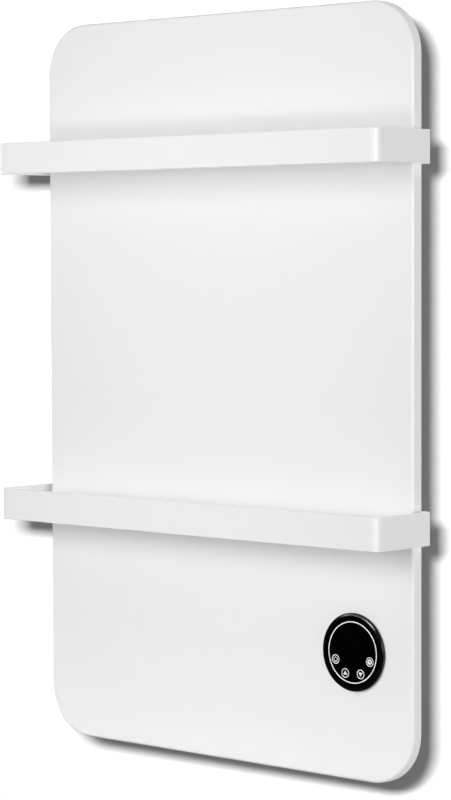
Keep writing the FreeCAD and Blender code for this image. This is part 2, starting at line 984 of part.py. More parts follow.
def control_clamp_ring():
    # Ring nut that draws the bezel onto the front sheet, with notches for a spanner
    depth = (sheet_inside, sheet_inside + clamp_ring_height)
    nut = ring(control_x, control_z, spigot_radius + thread_play, clamp_ring_radius, depth)
    notches = []
    for index in range(clamp_ring_notches):
        half = clamp_notch_width / 2
        inner = clamp_ring_radius - clamp_notch_depth
        notch = span((inner, clamp_ring_radius), depth, (-half, half))
        notch.rotate(point(0, 0, 0), point(0, 1, 0), 360 * index / clamp_ring_notches)
        notches.append(notch.translated(point(control_x, 0, control_z)))
    return nut.cut(notches)


def control_board():
    radius = spigot_radius - spigot_wall - board_play
    return rod(control_x, control_z, radius, (board_front, board_rear))


def display_module():
    half_width = display_width / 2
    half_height = display_height / 2
    depth = (lens_rear + display_lens_gap, board_front)
    wide = (control_x - half_width, control_x + half_width)
    return span(wide, depth, (control_z - half_height, control_z + half_height))


def touch_pads():
    return group(rods(key_places(), pad_radius, (lens_rear, board_front)))


def control_cap():
    # Rear cap that plugs into the bezel's spigot and holds the board on its shoulder
    plug = spigot_radius - spigot_wall - board_play
    tube = plug - spigot_wall
    profile = (
        (0, spigot_end),
        (tube, spigot_end),
        (tube, board_rear),
        (plug, board_rear),
        (plug, spigot_end),
        (spigot_radius, spigot_end),
        (spigot_radius, control_rear),
        (0, control_rear),
    )
    cap = spun(profile, control_x, control_z)
    return cap.cut(rod(control_x, cap_hole_z(), control_cable_radius, (spigot_end, control_rear)))


def cap_hole_z():
    return control_z + bezel_opening / 2


# Wall rails, hangers and lock


def wall_rail(row, with_lock):
    half = bracket_sheet / 2
    lip = -lip_offset - half
    web = row + web_rise
    corners = ((-half, row - wall_flange / 2), (-half, web), (lip, web), (lip, row + lip_rise))
    length = (-wall_rail_length / 2, wall_rail_length / 2)
    rail = folded(corners, bracket_sheet, bracket_bend_radius, length)
    places = [(side * wall_screw_spacing / 2, row) for side in (-1, 1)]
    holes = rods(places, wall_hole_radius, (-bracket_sheet, 0))
    if with_lock:
        tab_corners = ((-half, row), (-half, lock_tab_z), (-lock_reach, lock_tab_z))
        width = (lock_x - lock_width / 2, lock_x + lock_width / 2)
        rail = rail.fuse(folded(tab_corners, bracket_sheet, bracket_bend_radius, width)).removeSplitter()
        holes.append(lock_bore(medium_screw_radius + thread_play, lock_tab_z))
    return rail.cut(holes)


def lock_y():
    return -(lock_reach + bracket_sheet) / 2


def lock_bore(radius, level):
    return post(lock_x, lock_y(), radius, (level - bracket_sheet / 2, level + bracket_sheet / 2))


def hangers():
    half = bracket_sheet / 2
    hook = -lip_offset + bracket_bend_radius + hook_play + half
    base = back_face + half
    hook_depth = lip_height - half - hook_end_gap
    bores = rods(hanger_holes(), medium_screw_radius + hole_play, (back_face, back_face + bracket_sheet))
    solids = []
    for x, top in hanger_places():
        corners = (
            (hook, top - hook_depth),
            (hook, top + half),
            (base, top + half),
            (base, top + hanger_flange),
        )
        width = (x - hanger_width / 2, x + hanger_width / 2)
        clip = folded(corners, bracket_sheet, bracket_bend_radius, width)
        solids.append(clip.cut(bores))
    return group(solids)


def bracket_screws(places, held):
    # Screws that hold something of this thickness on the back panel
    screw = pan_screw(medium_screw_radius, held + back_sheet + weld_nut_height)
    return group(screw.translated(point(x, back_face + held, z)) for x, z in places)


def weld_nuts():
    nut = hexagon(weld_nut_flats, weld_nut_height)
    nut = nut.cut(post(0, 0, medium_screw_radius + thread_play, (0, weld_nut_height)))
    nut.rotate(point(0, 0, 0), point(1, 0, 0), 90)
    return group(nut.translated(point(x, back_inside, z)) for x, z in bracket_holes())


def lock_bracket():
    half = bracket_sheet / 2
    base = back_face + half
    corners = ((base, lock_shelf_z - lock_flange), (base, lock_shelf_z), (-bracket_sheet, lock_shelf_z))
    width = (lock_x - lock_width / 2, lock_x + lock_width / 2)
    bracket = folded(corners, bracket_sheet, bracket_bend_radius, width)
    bores = rods(lock_holes(), medium_screw_radius + hole_play, (back_face, back_face + bracket_sheet))
    bores.append(lock_bore(medium_screw_radius + hole_play, lock_shelf_z))
    return bracket.cut(bores)


def lock_screw():
    length = 2 * bracket_sheet + lock_gap + lock_screw_past
    screw = pan_screw(medium_screw_radius, length)
    screw.rotate(point(0, 0, 0), point(1, 0, 0), -90)
    return screw.translated(point(lock_x, lock_y(), lock_shelf_z - bracket_sheet / 2))


def wall_bumpers():
    stem_tip = back_face - bumper_stem_length
    profile = (
        (0, stem_tip),
        (bumper_stem_radius, stem_tip),
        (bumper_stem_radius, back_face),
        (bumper_radius, back_face),
        (bumper_radius, back_face / 2),
        (bumper_tip_radius, 0),
        (0, 0),
    )
    return group(spun(profile, x, z) for x, z in bumper_places())


# Connection box


def junction_box():
    outline = rounded_rectangle(box_width, box_height, box_corner_radius, box_x, box_z)
    box = slab(outline, (back_face, box_rim))
    inner_width = box_width - 2 * box_wall
    inner_height = box_height - 2 * box_wall
    inside = rounded_rectangle(inner_width, inner_height, box_corner_radius - box_wall, box_x, box_z)
    box = box.cut(slab(inside, (box_floor, box_rim)))
    boss = (box_floor, box_rim - lid_lip)
    bosses = rods(lid_holes(), lid_boss_radius, boss)
    bosses += rods(board_posts(), medium_screw_radius, (box_floor, box_floor + power_board_post))
    box = box.fuse(bosses).removeSplitter()
    through = (back_face, box_floor)
    holes = rods(lid_holes(), small_screw_radius + thread_play, boss)
    holes += rods(box_holes(), medium_screw_radius + hole_play, through)
    holes.append(rod(grommet_x, grommet_z, grommet_neck + thread_play, through))
    wall = (box_bottom, box_inner_bottom)
    holes.append(post(gland_x, box_mid, gland_shank_radius + thread_play, wall))
    holes.append(switch_cutout(wall))
    return box.cut(holes)


def switch_cutout(wall):
    half_length = switch_body_length / 2 + thread_play
    half_width = switch_body_width / 2 + thread_play
    wide = (switch_x - half_length, switch_x + half_length)
    return span(wide, (box_mid - half_width, box_mid + half_width), wall)


def box_lid():
    outline = rounded_rectangle(box_width, box_height, box_corner_radius, box_x, box_z)
    lid = slab(outline, (box_rim, box_rear))
    inset = 2 * (box_wall + lid_play)
    radius = box_corner_radius - box_wall - lid_play
    depth = (box_rim - lid_lip, box_rim)
    plug = slab(rounded_rectangle(box_width - inset, box_height - inset, radius, box_x, box_z), depth)
    hollow = inset + 2 * lid_lip_wall
    inner = rounded_rectangle(box_width - hollow, box_height - hollow, radius - lid_lip_wall, box_x, box_z)
    lip = plug.cut(slab(inner, depth))
    pads = [pad.common(plug) for pad in rods(lid_holes(), lid_boss_radius, depth)]
    gaps = [span(wide, depth, (box_bottom, box_z)) for wide in lip_gaps()]
    lid = lid.fuse(lip.fuse(pads).cut(gaps)).removeSplitter()
    head = head_to_shank * small_screw_radius + hole_play
    sinks = rods(lid_holes(), head, (box_rear - lid_screw_sink, box_rear))
    bores = rods(lid_holes(), small_screw_radius + hole_play, (box_rim - lid_lip, box_rear))
    return lid.cut(sinks + bores)


def lip_gaps():
    # Ends along X of the gaps that the lid's lip leaves for the gland's locknut and the switch
    gaps = []
    for x, half in ((gland_x, gland_flats / math.sqrt(3)), (switch_x, switch_body_length / 2)):
        reach = half + pocket_play
        gaps.append((x - reach, x + reach))
    return gaps


def lid_screws():
    seat = box_rear - lid_screw_sink
    screw = pan_screw(small_screw_radius, box_inner_depth - lid_lip)
    return group(screw.translated(point(x, seat, z)) for x, z in lid_holes())


def power_board_span():
    wide = (box_left + power_board_left, box_right - power_board_right)
    tall = (box_inner_bottom + power_board_below, box_inner_top - power_board_above)
    return wide, tall


def board_posts():
    wide, tall = power_board_span()
    inset = medium_screw_radius
    return [(x, z) for x in (wide[0] + inset, wide[1] - inset) for z in (tall[0] + inset, tall[1] - inset)]


def power_board():
    wide, tall = power_board_span()
    return span(wide, (power_board_seat, power_board_rear), tall)


def relay():
    wide, tall = power_board_span()
    x = sum(wide) / 2
    z = sum(tall) / 2
    length = (x - relay_length / 2, x + relay_length / 2)
    depth = (power_board_rear, terminal_crown)
    return span(length, depth, (z - relay_width / 2, z + relay_width / 2))


def terminal_block():
    # Poles side by side, each with a wire passage along Z and a screw shaft from the lid's side
    tall = (terminal_bottom, terminal_top)
    shaft = (terminal_wire_y, terminal_crown)
    wide = (terminal_left, terminal_left + terminal_poles * terminal_pitch)
    block = span(wide, (box_floor, terminal_crown), tall)
    cuts = []
    for index in range(terminal_poles):
        x = pole_x(index)
        cuts.append(post(x, terminal_wire_y, terminal_wire_radius, tall))
        cuts.append(rod(x, sum(tall) / 2, terminal_screw_radius, shaft))
        if index:
            edge = terminal_left + index * terminal_pitch
            cuts.append(span((edge - inner_gap / 2, edge + inner_gap / 2), shaft, tall))
    return block.cut(cuts)


def pole_x(index):
    return terminal_left + (index + 0.5) * terminal_pitch


def wire_grommet():
    profile = (
        (grommet_bore, back_inside - grommet_lip),
        (grommet_flange, back_inside - grommet_lip),
        (grommet_flange, back_inside),
        (grommet_neck, back_inside),
        (grommet_neck, box_floor),
        (grommet_flange, box_floor),
        (grommet_flange, box_floor + grommet_lip),
        (grommet_bore, box_floor + grommet_lip),
    )
    return spun(profile, grommet_x, grommet_z)


# Cable gland


def gland_body():
    inner_end = box_inner_bottom + gland_locknut_height + gland_shank_past
    neck_end = box_bottom - gland_hex_height - gland_neck_length
    hex_end = box_bottom - gland_hex_height
    body = hexagon(gland_flats, gland_hex_height).translated(point(gland_x, box_mid, hex_end))
    body = body.fuse(post(gland_x, box_mid, gland_shank_radius, (box_bottom, inner_end)))
    body = body.fuse(post(gland_x, box_mid, gland_neck_radius, (neck_end, hex_end)))
    return body.removeSplitter().cut(post(gland_x, box_mid, gland_bore, (neck_end, inner_end)))


def gland_locknut():
    nut = hexagon(gland_flats, gland_locknut_height).translated(point(gland_x, box_mid, box_inner_bottom))
    top = box_inner_bottom + gland_locknut_height
    return nut.cut(post(gland_x, box_mid, gland_shank_radius + thread_play, (box_inner_bottom, top)))


def gland_seal():
    end = box_bottom - gland_hex_height - gland_neck_length - gland_cap_gap
    height = (end, end + gland_seal_length)
    seal = post(gland_x, box_mid, gland_bore - thread_play, height)
    return seal.cut(post(gland_x, box_mid, gland_cord_radius, height))


def gland_cap():
    # Hexagonal cap nut with a rounded nose, screwed over the neck
    top = box_bottom - gland_hex_height - gland_cap_gap
    seat = box_bottom - gland_hex_height - gland_neck_length - gland_cap_gap
    nose = seat - gland_cap_wall
    cap = hexagon(gland_flats, top - nose).translated(point(gland_x, box_mid, nose))
    reach = gland_flats / math.sqrt(3)
    shoulder = gland_cap_wall * 2
    nose_radius = gland_cap_bore + gland_cap_wall / 2
    cone = Part.makeCone(nose_radius, reach, shoulder, point(gland_x, box_mid, nose))
    barrel = post(gland_x, box_mid, reach, (nose + shoulder, top))
    cap = cap.common(cone.fuse(barrel))
    cap = cap.cut(post(gland_x, box_mid, gland_neck_radius + thread_play, (seat, top)))
    return cap.cut(post(gland_x, box_mid, gland_cap_bore, (nose, seat)))


# Mains switch


def switch_body():
    half_length = switch_flange_length / 2
    half_width = switch_flange_width / 2
    flange_bottom = box_bottom - switch_flange_height
    wide = (switch_x - half_length, switch_x + half_length)
    flange = span(wide, (box_mid - half_width, box_mid + half_width), (flange_bottom, box_bottom))
    wide = (switch_x - switch_body_length / 2, switch_x + switch_body_length / 2)
    deep = (box_mid - switch_body_width / 2, box_mid + switch_body_width / 2)
    body = flange.fuse(span(wide, deep, (box_bottom, box_bottom + switch_body_depth))).removeSplitter()
    pocket_length = rocker_radius + rocker_play
    pocket_width = rocker_width / 2 + rocker_play
    pivot = box_bottom + rocker_pivot_level
    wide = (switch_x - pocket_length, switch_x + pocket_length)
    deep = (box_mid - pocket_width, box_mid + pocket_width)
    pocket = span(wide, deep, (flange_bottom, pivot + rocker_radius + rocker_play))
    pin_room = pocket_width + rocker_pin_length
    reach = (box_mid - pin_room, box_mid + pin_room)
    socket = rod(switch_x, pivot, rocker_pin_radius + rocker_pin_play, reach)
    return body.cut([pocket, socket])


def switch_rocker():
    # Shallow V that rocks on two side pins; it lies in its off position here
    pivot = box_bottom + rocker_pivot_level
    half = rocker_width / 2
    rise = rocker_radius * math.tan(math.radians(rocker_half_angle))
    profile = (
        (-rocker_radius, rocker_keel),
        (rocker_radius, rocker_keel),
        (rocker_radius, -rocker_waist - rise),
        (0, -rocker_waist),
        (-rocker_radius, -rocker_waist - rise),
    )
    corners = [point(x, -half, z) for x, z in profile]
    cap = Part.Face(Part.makePolygon(corners + corners[:1])).extrude(point(0, rocker_width, 0))
    cap = cap.common(rod(0, 0, rocker_radius, (-half, half)))
    reach = half + rocker_pin_length
    cap = cap.fuse(rod(0, 0, rocker_pin_radius, (-reach, reach))).removeSplitter()
    cap.rotate(point(0, 0, 0), point(0, 1, 0), -rocker_half_angle)
    return cap.translated(point(switch_x, box_mid, pivot))


def switch_blades():
    seat = box_bottom + switch_body_depth
    blades = []
    for side in (-1, 1):
        x = switch_x + side * blade_spacing / 2
        wide = (x - blade_thickness / 2, x + blade_thickness / 2)
        deep = (box_mid - blade_width / 2, box_mid + blade_width / 2)
        blades.append(span(wide, deep, (seat, seat + blade_length)))
    return group(blades)


pieces = {
    "front_panel": front_panel(),
    "heating_film": heating_film(),
    "carbon_strips": carbon_strips(),
    "busbars": busbars(),
    "reflector_foil": reflector_foil(),
    "insulation_board": insulation_board(),
    "thermal_cutouts": thermal_cutouts(),
    "temperature_sensor": temperature_sensor(),
    "heater_leads": heater_leads(),
    "control_lead": control_lead(),
    "back_panel": back_panel(),
    "edge_clips": edge_clips(),
    "back_panel_screws": back_panel_screws(),
    "towel_rail_upper": towel_rail(upper_rail_z),
    "towel_rail_lower": towel_rail(lower_rail_z),
    "rail_nut_plates": rail_nut_plates(),
    "rail_screws": rail_screws(),
    "control_bezel": control_bezel(),
    "touch_lens": touch_lens(),
    "bezel_gasket": bezel_gasket(),
    "control_clamp_ring": control_clamp_ring(),
    "control_board": control_board(),
    "display_module": display_module(),
    "touch_pads": touch_pads(),
    "control_cap": control_cap(),
    "wall_rail_upper": wall_rail(upper_row_z, False),
    "wall_rail_lower": wall_rail(lower_row_z, True),
    "hangers": hangers(),
    "hanger_screws": bracket_screws(hanger_holes(), bracket_sheet),
    "lock_bracket": lock_bracket(),
    "lock_bracket_screws": bracket_screws(lock_holes(), bracket_sheet),
    "lock_screw": lock_screw(),
    "weld_nuts": weld_nuts(),
    "wall_bumpers": wall_bumpers(),
    "junction_box": junction_box(),
    "box_lid": box_lid(),
    "lid_screws": lid_screws(),
    "box_screws": bracket_screws(box_holes(), box_wall),
    "power_board": power_board(),
    "relay": relay(),
    "terminal_block": terminal_block(),
    "wire_grommet": wire_grommet(),
    "gland_body": gland_body(),
    "gland_locknut": gland_locknut(),
    "gland_seal": gland_seal(),
    "gland_cap": gland_cap(),
    "switch_body": switch_body(),
    "switch_rocker": switch_rocker(),
    "switch_blades": switch_blades(),
}

os.makedirs("parts", exist_ok=True)
for name, shape in pieces.items():
    shape.exportStep("parts/" + name + ".step")
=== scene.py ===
"""Looks of a wall-hung infrared towel warmer: finishes, printed signs, studio and camera."""
import json
from math import cos, pi, radians, sin

import bmesh
import bpy
from mathutils import Matrix, Vector


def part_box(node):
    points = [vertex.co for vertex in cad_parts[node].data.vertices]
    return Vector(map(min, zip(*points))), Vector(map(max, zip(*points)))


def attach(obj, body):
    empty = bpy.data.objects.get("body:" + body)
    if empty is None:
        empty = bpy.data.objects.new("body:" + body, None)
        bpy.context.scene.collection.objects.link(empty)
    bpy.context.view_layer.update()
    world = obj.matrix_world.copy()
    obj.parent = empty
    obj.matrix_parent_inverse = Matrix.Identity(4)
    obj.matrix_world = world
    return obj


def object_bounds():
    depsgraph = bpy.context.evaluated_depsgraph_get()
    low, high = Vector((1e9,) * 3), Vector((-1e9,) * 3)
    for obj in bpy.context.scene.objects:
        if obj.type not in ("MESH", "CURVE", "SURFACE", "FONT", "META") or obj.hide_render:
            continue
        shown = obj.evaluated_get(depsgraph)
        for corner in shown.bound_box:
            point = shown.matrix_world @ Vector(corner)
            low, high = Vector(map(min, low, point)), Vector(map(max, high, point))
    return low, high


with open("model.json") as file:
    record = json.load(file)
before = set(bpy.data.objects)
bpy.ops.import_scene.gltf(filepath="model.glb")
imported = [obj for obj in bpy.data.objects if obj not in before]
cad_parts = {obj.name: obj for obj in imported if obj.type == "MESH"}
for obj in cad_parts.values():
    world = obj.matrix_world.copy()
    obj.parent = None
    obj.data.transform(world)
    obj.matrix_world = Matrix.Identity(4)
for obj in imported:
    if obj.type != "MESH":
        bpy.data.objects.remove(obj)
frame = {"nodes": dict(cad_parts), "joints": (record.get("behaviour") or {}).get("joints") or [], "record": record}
cad_low, cad_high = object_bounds()

mm = 0.001

# Camera, in the heater's own frame
image_height_px = 800
focal_length_px = 2711.6
sensor_height = 24.0
camera_place = Vector((1.9600, -2.1780, 0.1418))
camera_yaw = radians(42.356)
camera_pitch = radians(-3.042)
camera_roll = radians(-0.208)
camera_reach = 50

# Signs printed on the touch lens; a share is a part of the sign's radius or height
ring_radius = 31.7 * mm
ring_line = 1.15 * mm
key_circle_radius = 24.2 * mm
key_radius = 4.9 * mm
key_line = 0.8 * mm
print_turn = radians(1.5)
print_thickness = 0.03 * mm
circle_steps = 96
power_angle = radians(200)
warmer_angle = radians(245)
cooler_angle = radians(295)
timer_angle = radians(340)
power_radius = 2.3 * mm
power_gap = radians(38)
power_bar_share = 0.8
glyph_line = 0.75 * mm
arrow_width = 5.6 * mm
arrow_height = 4.2 * mm
arrow_foot_share = 0.42
clock_radius = 2.9 * mm
clock_hand_width = 0.9 * mm
clock_hand_share = 0.62

# Marks on the mains rocker
rocker_mark_offset = 4.3 * mm
rocker_bar_length = 4.0 * mm
rocker_bar_width = 0.7 * mm
rocker_ring_radius = 1.7 * mm
rocker_probe_drop = 10 * mm

# Floor and wall of the studio; the wall stands behind the plane that the heater hangs on
floor_drop = 0.75
cove_radius = 0.4
cove_steps = 24
stage_half_width = 4.0
stage_front = 5.0
stage_top = 2.4
wall_clearance = 600 * mm

# Paper of the floor and wall, as a camera sees it
paper_tone = 0.42
wall_lift = 0.02
floor_lift = 0.8
upright_limit = 0.1
first_bounce_limit = 1.5

# Light all round, and the curtain that glossy faces mirror
ambient_strength = 0.29
curtain_radius = 10.0
curtain_half_height = 40.0
curtain_half_angle = radians(105)
curtain_steps = 48

# Colour sockets of Blender's Mix node
mix_first = 6
mix_second = 7
mix_result = 2


# Camera and studio


def place_camera():
    level_ahead = Vector((-sin(camera_yaw), cos(camera_yaw), 0))
    ahead = level_ahead * cos(camera_pitch) + Vector((0, 0, sin(camera_pitch)))
    level_right = Vector((cos(camera_yaw), sin(camera_yaw), 0))
    level_up = level_right.cross(ahead)
    right = level_right * cos(camera_roll) + level_up * sin(camera_roll)
    up = right.cross(ahead)
    data = bpy.data.cameras.new("photo_camera")
    data.sensor_fit = "VERTICAL"
    data.sensor_height = sensor_height
    data.lens = sensor_height * focal_length_px / image_height_px
    data.clip_end = camera_reach
    camera = bpy.data.objects.new("photo_camera", data)
    bpy.context.scene.collection.objects.link(camera)
    facing = Matrix((right, up, -ahead)).transposed().to_4x4()
    camera.matrix_world = Matrix.Translation(camera_place) @ facing
    bpy.context.scene.camera = camera


def soft_lamp(name, azimuth, elevation, distance, width, height, power, backdrop="EXCLUDE"):
    """Soft box that faces the heater; azimuth 0 is straight in front, positive to the right.

    Angles are in degrees, lengths in metres and the power in watts. The box leaves the
    backdrop unlit, or with backdrop set to INCLUDE lights that alone.
    """
    turn = radians(azimuth)
    rise = radians(elevation)
    way = Vector((sin(turn) * cos(rise), -cos(turn) * cos(rise), sin(rise)))
    data = bpy.data.lights.new(name, "AREA")
    data.shape = "RECTANGLE"
    data.size = width
    data.size_y = height
    data.energy = power
    lamp = bpy.data.objects.new(name, data)
    bpy.context.scene.collection.objects.link(lamp)
    facing = way.to_track_quat("Z", "Y").to_matrix().to_4x4()
    lamp.matrix_world = Matrix.Translation(way * distance) @ facing
    lamp.visible_camera = False
    reach = bpy.data.collections.new(name + "_reach")
    reach.objects.link(bpy.data.objects["studio_sweep"])
    reach.collection_objects[0].light_linking.link_state = backdrop
    lamp.light_linking.receiver_collection = reach
    return lamp


def aim(lamp, below, beam):
    """Turn a lamp below the heater's middle, or above it with a negative angle, and narrow its beam."""
    lamp.matrix_world = lamp.matrix_world @ Matrix.Rotation(radians(-below), 4, "X")
    lamp.data.spread = radians(beam)


def front_light():
    """High key and three fills; they shape the shadows on the panel and stay out of reflections."""
    key = soft_lamp("key_lamp", azimuth=0, elevation=15, distance=5.5, width=2.6, height=2.95, power=134)
    near = soft_lamp("near_lamp", azimuth=0, elevation=4, distance=1.0, width=0.5, height=0.5, power=1.35)
    aim(near, below=3, beam=130)
    low = soft_lamp("low_lamp", azimuth=0, elevation=8, distance=2.2, width=1.1, height=0.3, power=0.6)
    aim(low, below=15, beam=20)
    high = soft_lamp("high_lamp", azimuth=0, elevation=-8, distance=2.2, width=0.7, height=0.3, power=0.32)
    aim(high, below=-14, beam=38)
    for lamp in (key, near, low, high):
        lamp.visible_glossy = False


def side_light(name, azimuth):
    """Lamp a little behind the heater's side that lifts its edges."""
    lamp = soft_lamp(name, azimuth, elevation=-5, distance=4.0, width=1.5, height=2.2, power=69)
    lamp.visible_glossy = False


def rear_light():
    """Lamp far behind the backdrop, for views of the heater's back."""
    lamp = soft_lamp("rear_lamp", azimuth=180, elevation=20, distance=6.0, width=3.0, height=2.0, power=130)
    lamp.visible_glossy = False


def backdrop_light():
    """Small box beside the camera that throws the heater's shadow on the backdrop, low and to the right."""
    lamp = soft_lamp(
        "backdrop_lamp",
        azimuth=40.36,
        elevation=3.94,
        distance=2.95,
        width=0.1,
        height=0.052,
        power=520,
        backdrop="INCLUDE",
    )
    lamp.visible_glossy = False


def edge_sheen():
    """Narrow strip box that draws a bright line along the coated pieces' rounded edges."""
    lamp = soft_lamp(
        "sheen_lamp", azimuth=46, elevation=4.5, distance=3.5, width=0.45, height=1.2, power=60
    )
    lamp.visible_diffuse = False


def bezel_glint():
    """Low wide box to the left that draws the thin arc on the bezel's bevel and lights nothing else."""
    lamp = soft_lamp(
        "glint_lamp", azimuth=-31, elevation=4.2, distance=3.4, width=1.6, height=0.22, power=38
    )
    lamp.visible_diffuse = False
    lamp.light_linking.receiver_collection.objects.link(frame["nodes"]["control_bezel"])


def studio_world():
    """Even ambient light, which cameras, gloss and glass see as plain white."""
    world = bpy.data.worlds.new("studio")
    bpy.context.scene.world = world
    world.use_nodes = True
    tree = world.node_tree
    tree.nodes.clear()
    path = add(tree, "ShaderNodeLightPath")
    seen = combine(tree, "MAXIMUM", path.outputs["Is Camera Ray"], path.outputs["Is Glossy Ray"])
    seen = combine(tree, "MAXIMUM", seen, path.outputs["Is Transmission Ray"])
    ambient = add(tree, "ShaderNodeBackground", Color=grey(1.0), Strength=ambient_strength)
    white = add(tree, "ShaderNodeBackground", Color=grey(1.0), Strength=1.0)
    chosen = mix_shaders(tree, seen, ambient.outputs[0], white.outputs[0])
    add(tree, "ShaderNodeOutputWorld", Surface=chosen)


def studio_sweep():
    """Pale floor that curves up into the wall behind the heater."""
    floor = cad_low.z - floor_drop
    wall = cad_high.y + wall_clearance
    profile = [(-stage_front, floor)]
    for step in range(cove_steps + 1):
        turn = radians(90) * step / cove_steps
        y = wall - cove_radius + cove_radius * sin(turn)
        z = floor + cove_radius - cove_radius * cos(turn)
        profile.append((y, z))
    profile.append((wall, stage_top))
    mesh = bmesh.new()
    rows = []
    for x in (-stage_half_width, stage_half_width):
        rows.append([mesh.verts.new((x, y, z)) for y, z in profile])
    for index in range(len(profile) - 1):
        mesh.faces.new((rows[0][index], rows[1][index], rows[1][index + 1], rows[0][index + 1]))
    sweep = finished_mesh("studio_sweep", mesh)
    sweep.data.shade_smooth()
    sweep.data.materials.append(pale_backdrop())


def dark_room():
    """Black curtain far round the front, which only glossy faces mirror."""
    mesh = bmesh.new()
    columns = []
    for step in range(curtain_steps + 1):
        turn = curtain_half_angle * (2 * step / curtain_steps - 1)
        x = curtain_radius * sin(turn)
        y = -curtain_radius * cos(turn)
        columns.append([mesh.verts.new((x, y, z)) for z in (-curtain_half_height, curtain_half_height)])
    for before, after in zip(columns, columns[1:]):
        mesh.faces.new((before[0], after[0], after[1], before[1]))
    curtain = finished_mesh("dark_curtain", mesh)
    curtain.data.materials.append(black_cloth())
    curtain.visible_camera = False
    curtain.visible_diffuse = False
    curtain.visible_shadow = False


# Node helpers


def add(tree, kind, settings=None, **inputs):
    """New node; an input's name has _ for a space, and takes a value or another node's output."""
    node = tree.nodes.new(kind)
    for name, value in (settings or {}).items():
        setattr(node, name, value)
    for name, value in inputs.items():
        feed(tree, node.inputs[name.replace("_", " ")], value)
    return node


def feed(tree, socket, value):
    if isinstance(value, bpy.types.NodeSocket):
        tree.links.new(value, socket)
    else:
        socket.default_value = value


def combine(tree, operation, first, second):
    """Result of a Math node on two values."""
    node = add(tree, "ShaderNodeMath", {"operation": operation})
    feed(tree, node.inputs[0], first)
    feed(tree, node.inputs[1], second)
    return node.outputs[0]


def blend(tree, factor, first, second):
    """Colour that goes from the first to the second as the factor rises."""
    node = add(tree, "ShaderNodeMix", {"data_type": "RGBA"}, Factor=factor)
    feed(tree, node.inputs[mix_first], first)
    feed(tree, node.inputs[mix_second], second)
    return node.outputs[mix_result]


def mix_shaders(tree, factor, first, second):
    """Shader that goes from the first to the second as the factor rises."""
    node = add(tree, "ShaderNodeMixShader")
    feed(tree, node.inputs[0], factor)
    feed(tree, node.inputs[1], first)
    feed(tree, node.inputs[2], second)
    return node.outputs[0]


def effect(name, inputs, outputs):
    """Empty node group with its sockets; returns the group, its input sockets and its output sockets."""
    tree = bpy.data.node_groups.new(name, "ShaderNodeTree")
    for socket, kind, value in inputs:
        made = tree.interface.new_socket(socket, in_out="INPUT", socket_type="NodeSocket" + kind)
        made.default_value = value
    for socket, kind in outputs:
        tree.interface.new_socket(socket, in_out="OUTPUT", socket_type="NodeSocket" + kind)
    entry = tree.nodes.new("NodeGroupInput")
    leave = tree.nodes.new("NodeGroupOutput")
    return tree, entry.outputs, leave.inputs


def use(tree, group, **inputs):
    """Places an effect in a material's tree and returns what it puts out."""
    node = add(tree, "ShaderNodeGroup", {"node_tree": group}, **inputs)
    return node.outputs


def noise_on_piece(tree, scale, detail):
    """Noise that lies still on its piece."""
    place = add(tree, "ShaderNodeTexCoord")
    noise = add(tree, "ShaderNodeTexNoise", Vector=place.outputs["Object"], Scale=scale, Detail=detail)
    return noise.outputs["Fac"]


# Effects that several finishes share


def drift_effect():
    """Slow change between two colours."""
    tree, given, result = effect(
        "colour_drift",
        (("Light", "Color", (1, 1, 1, 1)), ("Dark", "Color", (0.8, 0.8, 0.8, 1)), ("Scale", "Float", 6.0)),
        (("Colour", "Color"),),
    )
    noise = noise_on_piece(tree, given["Scale"], detail=3.0)
    feed(tree, result["Colour"], blend(tree, noise, given["Light"], given["Dark"]))
    return tree


def sheen_effect():
    """Roughness that wanders between two values."""
    tree, given, result = effect(
        "uneven_gloss",
        (("Low", "Float", 0.3), ("High", "Float", 0.5), ("Scale", "Float", 20.0)),
        (("Roughness", "Float"),),
    )
    noise = noise_on_piece(tree, given["Scale"], detail=4.0)
    spread = add(tree, "ShaderNodeMapRange", Value=noise, From_Min=0.3, From_Max=0.7)
    feed(tree, spread.inputs["To Min"], given["Low"])
    feed(tree, spread.inputs["To Max"], given["High"])
    feed(tree, result["Roughness"], spread.outputs["Result"])
    return tree


def grain_effect():
    """Fine relief: the orange peel of a coat, or a mould's spark texture."""
    tree, given, result = effect(
        "fine_grain",
        (("Scale", "Float", 800.0), ("Stretch", "Vector", (1, 1, 1))),
        (("Height", "Float"),),
    )
    place = add(tree, "ShaderNodeTexCoord")
    drawn = add(tree, "ShaderNodeVectorMath", {"operation": "MULTIPLY"})
    feed(tree, drawn.inputs[0], place.outputs["Object"])
    feed(tree, drawn.inputs[1], given["Stretch"])
    noise = add(tree, "ShaderNodeTexNoise", Vector=drawn.outputs[0], Scale=given["Scale"], Detail=2.0)
    feed(tree, result["Height"], noise.outputs["Fac"])
    return tree


def dust_effect():
    """Mask of settled dust on faces that look up."""
    tree, given, result = effect(
        "settled_dust",
        (("Amount", "Float", 0.3), ("Scale", "Float", 120.0)),
        (("Mask", "Float"),),
    )
    surface = add(tree, "ShaderNodeNewGeometry")
    facing = add(tree, "ShaderNodeSeparateXYZ", Vector=surface.outputs["Normal"])
    upward = add(tree, "ShaderNodeMapRange", Value=facing.outputs["Z"], From_Min=0.5)
    noise = noise_on_piece(tree, given["Scale"], detail=5.0)
    patchy = combine(tree, "MULTIPLY", upward.outputs["Result"], noise)
    feed(tree, result["Mask"], combine(tree, "MULTIPLY", patchy, given["Amount"]))
    return tree


colour_drift = drift_effect()
uneven_gloss = sheen_effect()
fine_grain = grain_effect()
settled_dust = dust_effect()


# What finishes are made of


def grey(value):
    return (value, value, value, 1)


def finish(name, **values):
    """New material with a Principled shader; returns the material, its tree and the shader."""
    material = bpy.data.materials.new(name)
    material.use_nodes = True
    tree = material.node_tree
    tree.nodes.clear()
    shader = add(tree, "ShaderNodeBsdfPrincipled", **values)
    add(tree, "ShaderNodeOutputMaterial", Surface=shader.outputs[0])
    return material, tree, shader


